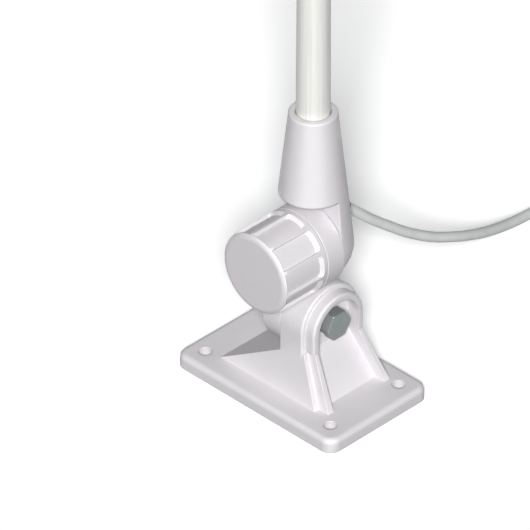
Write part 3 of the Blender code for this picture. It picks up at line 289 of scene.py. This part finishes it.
def rubber():
    """Soft black rubber, slightly cloudy, with a fine grain."""
    look = Look("black_rubber_look")
    cloud = look.noise(300, detail=4, rough=0.6)
    base = look.ramp(cloud, (0.3, (0.009, 0.009, 0.010)), (0.75, (0.024, 0.024, 0.025)))
    look.feed(base, "Base Color")
    look.feed(look.spread(cloud, 0.46, 0.62), "Roughness")
    grain = look.noise(1500, detail=3, rough=0.5)
    look.feed(look.bump(grain, depth=0.03 * MM, strength=0.5, after=look.rounded(0.3 * MM)), "Normal")
    look.set(Specular_IOR_Level=0.35)
    return look.made


def jacket():
    """Smooth pale grey vinyl of the coaxial cable, with faint rubbed marks."""
    look = Look("cable_jacket_look")
    cloud = look.noise(90, detail=3, rough=0.55)
    base = look.ramp(cloud, (0.3, (0.58, 0.605, 0.59)), (0.7, (0.67, 0.69, 0.675)))
    rubbed = look.noise(700, detail=4, rough=0.7)
    marks = look.spread(rubbed, 0.0, 0.35, start=0.58, stop=0.75)
    base = look.mix(marks, base, (0.50, 0.52, 0.51))
    look.feed(base, "Base Color")
    look.feed(look.spread(cloud, 0.36, 0.48), "Roughness")
    look.feed(look.bump(look.noise(1100, detail=2, rough=0.5), depth=0.02 * MM, strength=0.35), "Normal")
    look.set(IOR=1.52, Specular_IOR_Level=0.4)
    return look.made


def knurl(look, after):
    """The diamond knurl on the outer face of the plug's ring, whose axis runs along Y."""
    low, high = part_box("coupling_ring")
    middle = (low + high) / 2
    ring_radius = (high.x - low.x) / 2
    apart = look.tree.nodes.new("ShaderNodeSeparateXYZ")
    look.link(look.place, apart.inputs["Vector"])
    across = look.maths("SUBTRACT", apart.outputs["X"], middle.x)
    up = look.maths("SUBTRACT", apart.outputs["Z"], middle.z)
    turn = look.maths("MULTIPLY", look.maths("ARCTAN2", across, up), KNURLS / math.tau)
    along = look.maths("MULTIPLY", apart.outputs["Y"], KNURLS / math.tau / ring_radius)
    left = look.maths("PINGPONG", look.maths("ADD", turn, along), 0.5)
    right = look.maths("PINGPONG", look.maths("SUBTRACT", turn, along), 0.5)
    squares = [look.maths("MULTIPLY", part, part) for part in (across, up)]
    radius = look.maths("POWER", look.maths("ADD", *squares), 0.5)
    outside = look.maths("GREATER_THAN", radius, ring_radius - KNURL_DEPTH)
    height = look.maths("MULTIPLY", look.maths("MINIMUM", left, right), outside)
    return look.bump(height, depth=KNURL_DEPTH, strength=0.8, after=after)


def metal(name, low, high, roughness, turned, knurled=False):
    """Plated or drawn metal. Its fine turning marks run round the given axis."""
    look = Look(name)
    cloud = look.noise(220, detail=4, rough=0.6)
    scale = (0.2, 3.0, 0.2) if turned == "Y" else (0.2, 0.2, 3.0)
    marks = look.noise(1300, detail=2, rough=0.5, place=look.scaled(scale))
    base = look.ramp(cloud, (0.3, low), (0.72, high))
    edge = look.maths("MULTIPLY", look.edge_mask(0.25 * MM), 0.5)
    bright = tuple(min(1.0, 1.12 * c) for c in high)
    look.feed(look.mix(edge, base, bright), "Base Color")
    look.feed(look.spread(marks, roughness, roughness + 0.14), "Roughness")
    soft = look.bump(marks, depth=0.012 * MM, strength=0.35, after=look.rounded(0.2 * MM))
    look.feed(knurl(look, soft) if knurled else soft, "Normal")
    look.set(Metallic=1.0)
    return look.made


def foam():
    """White closed-cell foam of the rings inside the whip."""
    look = Look("white_foam_look")
    cells = look.noise(1600, detail=4, rough=0.7)
    base = look.ramp(cells, (0.3, (0.68, 0.67, 0.62)), (0.7, (0.84, 0.83, 0.79)))
    look.feed(base, "Base Color")
    look.feed(look.bump(cells, depth=0.12 * MM, strength=0.7), "Normal")
    look.set(Roughness=0.9)
    return look.made


def insulator():
    """The plug's smooth white insulator."""
    look = Look("white_insulator_look")
    cloud = look.noise(400, detail=3, rough=0.6)
    base = look.ramp(cloud, (0.3, (0.78, 0.77, 0.74)), (0.7, (0.86, 0.85, 0.82)))
    look.feed(base, "Base Color")
    look.feed(look.spread(cloud, 0.34, 0.46), "Roughness")
    look.feed(look.bump(cloud, depth=0.02 * MM, strength=0.3, after=look.rounded(0.2 * MM)), "Normal")
    return look.made


FLOOR_REACH = 8.0
FLOOR_Z = -0.2 * MM
FLOOR_GLOW = 0.22


def floor():
    """A plain pale floor, which catches the object's shadow and lights nothing itself."""
    look = Look("floor_look")
    cloud = look.noise(3.0, detail=3, rough=0.5)
    base = look.ramp(cloud, (0.3, (0.935, 0.937, 0.94)), (0.7, (0.955, 0.957, 0.96)))
    look.feed(base, "Base Color")
    look.set(Roughness=0.8, Specular_IOR_Level=0.1)
    look.feed(base, "Emission Color")
    look.set(Emission_Strength=FLOOR_GLOW)
    bm = bmesh.new()
    signs = ((-1, -1), (1, -1), (1, 1), (-1, 1))
    bm.faces.new([bm.verts.new((x * FLOOR_REACH, y * FLOOR_REACH, FLOOR_Z)) for x, y in signs])
    mesh = bpy.data.meshes.new("floor")
    bm.to_mesh(mesh)
    bm.free()
    made = bpy.data.objects.new("floor", mesh)
    mesh.materials.append(look.made)
    made.visible_diffuse = False
    made.visible_glossy = False
    made.visible_shadow = False
    bpy.context.scene.collection.objects.link(made)


# Cable

CABLE = 5.0 * MM
COIL_X = 22.0 * MM
COIL_Y = 191.0 * MM
COIL_INNER = 20.5 * MM
COIL_PITCH = 5.2 * MM
COIL_COLUMNS = 4
COIL_LAYERS = 6
COIL_OUTER = COIL_INNER + (COIL_COLUMNS - 1) * COIL_PITCH
COIL_LOW = 4.1 * MM

# Where in its turn the cable starts to cross over to the next turn's place, and how long it
# takes, as shares of a turn
CROSSING_START = 0.70
CROSSING_SHARE = 0.25
STEPS_PER_TURN = 36

# How far apart the points of each free stretch are
LEAD_STEP = 2.0 * MM
RUN_STEP = 4.0 * MM
TAIL_STEP = 3.0 * MM

# The routes' points, as in the part's own source
LEAD = [
    Vector((0.005, 0.01957, 0.09044)),
    Vector((0.005, 0.0255, 0.0852)),
    Vector((0.005, 0.0382, 0.0734)),
    Vector((0.005, 0.046, 0.06687)),
]
RUN = [
    LEAD[-1],
    Vector((0.005, 0.0509, 0.0629)),
    Vector((0.005, 0.0611, 0.0548)),
    Vector((0.005, 0.0719, 0.0474)),
    Vector((0.005, 0.0808, 0.0420)),
    Vector((0.0048, 0.0903, 0.0372)),
    Vector((0.0036, 0.1025, 0.0312)),
    Vector((0.0006, 0.1180, 0.0238)),
    Vector((-0.0034, 0.1335, 0.0171)),
    Vector((-0.0075, 0.1490, 0.0112)),
    Vector((-0.0109, 0.1635, 0.0069)),
    Vector((-0.0132, 0.1775, 0.0047)),
]
TAIL = [
    Vector((0.0584, 0.1800, 0.0288)),
    Vector((0.0592, 0.1690, 0.0240)),
    Vector((0.0602, 0.1590, 0.0165)),
    Vector((0.0609, 0.1510, 0.0111)),
    Vector((0.0610, 0.1450, 0.0095)),
    Vector((0.0610, 0.1415, 0.0095)),
]


def smooth_route(points, spacing):
    """Points read from a smooth curve through the given ones, about the spacing apart."""
    ends = [2 * points[0] - points[1]] + list(points) + [2 * points[-1] - points[-2]]
    read = []
    for i in range(1, len(ends) - 2):
        before, start, stop, after = ends[i - 1 : i + 3]
        span = (stop - start).length
        lead_in = (stop - before) * span / ((start - before).length + span)
        lead_out = (after - start) * span / ((after - stop).length + span)
        count = max(1, round(span / spacing))
        for k in range(count):
            t = k / count
            read.append(
                (2 * t**3 - 3 * t**2 + 1) * start
                + (t**3 - 2 * t**2 + t) * lead_in
                + (3 * t**2 - 2 * t**3) * stop
                + (t**3 - t**2) * lead_out
            )
    read.append(points[-1].copy())
    return read


def eased(t):
    """From 0 to 1 with a soft start and stop."""
    t = max(0.0, min(1.0, t))
    return t * t * (3 - 2 * t)


def coil_points():
    """Turns from the coil's outer foot to its outer top, clockwise seen from above."""
    places = []
    for layer in range(COIL_LAYERS):
        columns = range(COIL_COLUMNS)
        if layer % 2:
            columns = reversed(columns)
        for column in columns:
            radius = COIL_OUTER - column * COIL_PITCH
            places.append((radius, COIL_LOW + layer * COIL_PITCH))
    points = []
    total = STEPS_PER_TURN * len(places) - STEPS_PER_TURN // 2
    for i in range(total + 1):
        turn = i / STEPS_PER_TURN
        full = int(turn)
        share = eased((turn - full - CROSSING_START) / CROSSING_SHARE)
        here = places[min(full, len(places) - 1)]
        then = places[min(full + 1, len(places) - 1)]
        radius = here[0] + (then[0] - here[0]) * share
        z = here[1] + (then[1] - here[1]) * share
        angle = math.pi - 2 * math.pi * turn
        points.append(
            Vector((COIL_X + radius * math.cos(angle), COIL_Y + radius * math.sin(angle), z))
        )
    return points


def tube(name, points, diameter, look, ends, sides=14):
    """A round tube along the points as a mesh. The ends that are free are slightly rounded."""
    bm = bmesh.new()
    tangents = []
    for i, p in enumerate(points):
        a = points[max(0, i - 1)]
        b = points[min(len(points) - 1, i + 1)]
        tangents.append((b - a).normalized())
    side = tangents[0].orthogonal().normalized()
    rings = []
    rounding = 0.06 * diameter
    stations = [(p, t, 1.0, 0.0) for p, t in zip(points[1:-1], tangents[1:-1])]
    for rounded, at, inwards in ((ends[0], 0, rounding), (ends[1], -1, -rounding)):
        tip = [(points[at], tangents[at], 1.0, 0.0)]
        if rounded:
            narrow = (points[at], tangents[at], 1 - 2 * rounding / diameter, 0.0)
            tip = [narrow, (points[at], tangents[at], 1.0, inwards)]
        stations = tip + stations if at == 0 else stations + tip[::-1]
    for place, tangent, grow, shift in stations:
        side = (side - tangent * side.dot(tangent)).normalized()
        other = tangent.cross(side)
        ring = []
        for k in range(sides):
            angle = 2 * math.pi * k / sides
            arm = side * math.cos(angle) + other * math.sin(angle)
            ring.append(bm.verts.new(place + tangent * shift + arm * diameter / 2 * grow))
        rings.append(ring)
    for a, b in zip(rings, rings[1:]):
        for k in range(sides):
            m = (k + 1) % sides
            bm.faces.new((a[k], a[m], b[m], b[k]))
    for cap in (rings[0][::-1], rings[-1]):
        for edge in bm.faces.new(cap).edges:
            edge.smooth = False
    for face in bm.faces:
        face.smooth = len(face.verts) == 4
    bmesh.ops.recalc_face_normals(bm, faces=bm.faces)
    mesh = bpy.data.meshes.new(name)
    bm.to_mesh(mesh)
    bm.free()
    mesh.materials.append(look)
    made = bpy.data.objects.new(name, mesh)
    bpy.context.scene.collection.objects.link(made)
    return made


def cables(look):
    """The lead, and the run with the coil and tail, as smooth tubes that take the place of the cable
    nodes, which are hidden.
    """
    lead = smooth_route(LEAD, LEAD_STEP)
    piece = tube("lead_cable", lead, CABLE, look, (True, False))
    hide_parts("cable_lead")
    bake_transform(piece)
    coil = coil_points()
    way_in = smooth_route(RUN + coil[:2], RUN_STEP)
    way_out = smooth_route(coil[-2:] + TAIL, TAIL_STEP)
    run = way_in[:-1] + coil[1:-2] + way_out
    piece = tube("coiled_cable", run, CABLE, look, (False, True))
    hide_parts("cable_run", "cable_coil", "cable_tail")
    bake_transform(piece)


# The CAD nodes' shading and materials

SMOOTH_UNDER = math.radians(28)
JOIN_DISTANCE = 0.01 * MM


def smooth_by_angle(limit):
    """Nodes that join the facets' corners and shade them smooth, except over sharp edges."""
    tree = bpy.data.node_groups.new("smooth_by_angle", "GeometryNodeTree")
    for way in ("INPUT", "OUTPUT"):
        tree.interface.new_socket("Geometry", in_out=way, socket_type="NodeSocketGeometry")
    start = tree.nodes.new("NodeGroupInput")
    joined = tree.nodes.new("GeometryNodeMergeByDistance")
    joined.inputs["Distance"].default_value = JOIN_DISTANCE
    bare = tree.nodes.new("GeometryNodeRemoveAttribute")
    bare.inputs["Name"].default_value = "custom_normal"
    faces = tree.nodes.new("GeometryNodeSetShadeSmooth")
    edges = tree.nodes.new("GeometryNodeSetShadeSmooth")
    edges.domain = "EDGE"
    edges.inputs["Shade Smooth"].default_value = False
    end = tree.nodes.new("NodeGroupOutput")
    chain = (start, joined, bare, faces, edges, end)
    for a, b in zip(chain, chain[1:]):
        tree.links.new(a.outputs["Geometry"], b.inputs["Geometry"])
    angle = tree.nodes.new("GeometryNodeInputMeshEdgeAngle")
    sharp = tree.nodes.new("FunctionNodeCompare")
    sharp.operation = "GREATER_THAN"
    sharp.inputs["B"].default_value = limit
    tree.links.new(angle.outputs["Unsigned Angle"], sharp.inputs["A"])
    tree.links.new(sharp.outputs["Result"], edges.inputs["Selection"])
    return tree


def dress():
    """Smooth shading and a material for each CAD node, and the cable's real turns."""
    white = moulding("white_moulding_look", 0.5 * MM)
    soft_white = moulding("soft_moulding_look", 1.3 * MM)
    crisp = moulding("crisp_moulding_look", 0.12 * MM)
    dull = steel()
    whip = glassfibre()
    black = rubber()
    grey = jacket()
    drawn = metal("brass_look", (0.60, 0.43, 0.18), (0.74, 0.56, 0.27), 0.24, "Z")
    plate = ((0.60, 0.585, 0.55), (0.74, 0.73, 0.70), 0.16, "Y")
    nickel = metal("nickel_look", *plate)
    knurled = metal("knurled_nickel_look", *plate, knurled=True)
    soft = foam()
    ptfe = insulator()
    looks = {
        white: ("base_mount",),
        soft_white: ("ferrule",),
        crisp: ("swivel_body", "knob_shell"),
        dull: ("pivot_bolt", "head_washer", "pivot_nut", "thrust_washer", "clamp_stud"),
        whip: ("whip_tube",),
        black: ("tip_cap", "cable_grommet", "coil_tie"),
        grey: ("feed_cable", "cable_lead", "cable_run", "cable_coil", "cable_tail"),
        drawn: ("knob_insert", "sleeve_tube", "upper_element"),
        nickel: ("plug_reducer", "plug_body", "plug_pin"),
        knurled: ("coupling_ring",),
        soft: ("sleeve_spacer_1", "sleeve_spacer_2", "element_spacer_1",
               "element_spacer_2", "element_spacer_3"),
        ptfe: ("plug_insulator",),
    }
    smooth = smooth_by_angle(SMOOTH_UNDER)
    for look, names in looks.items():
        for name in names:
            nodes[name].modifiers.new("smooth", "NODES").node_group = smooth
            even = nodes[name].modifiers.new("even", "WEIGHTED_NORMAL")
            even.keep_sharp = True
            for slot in nodes[name].material_slots:
                slot.material = look
    cables(grey)


camera()
studio()
floor()
dress()
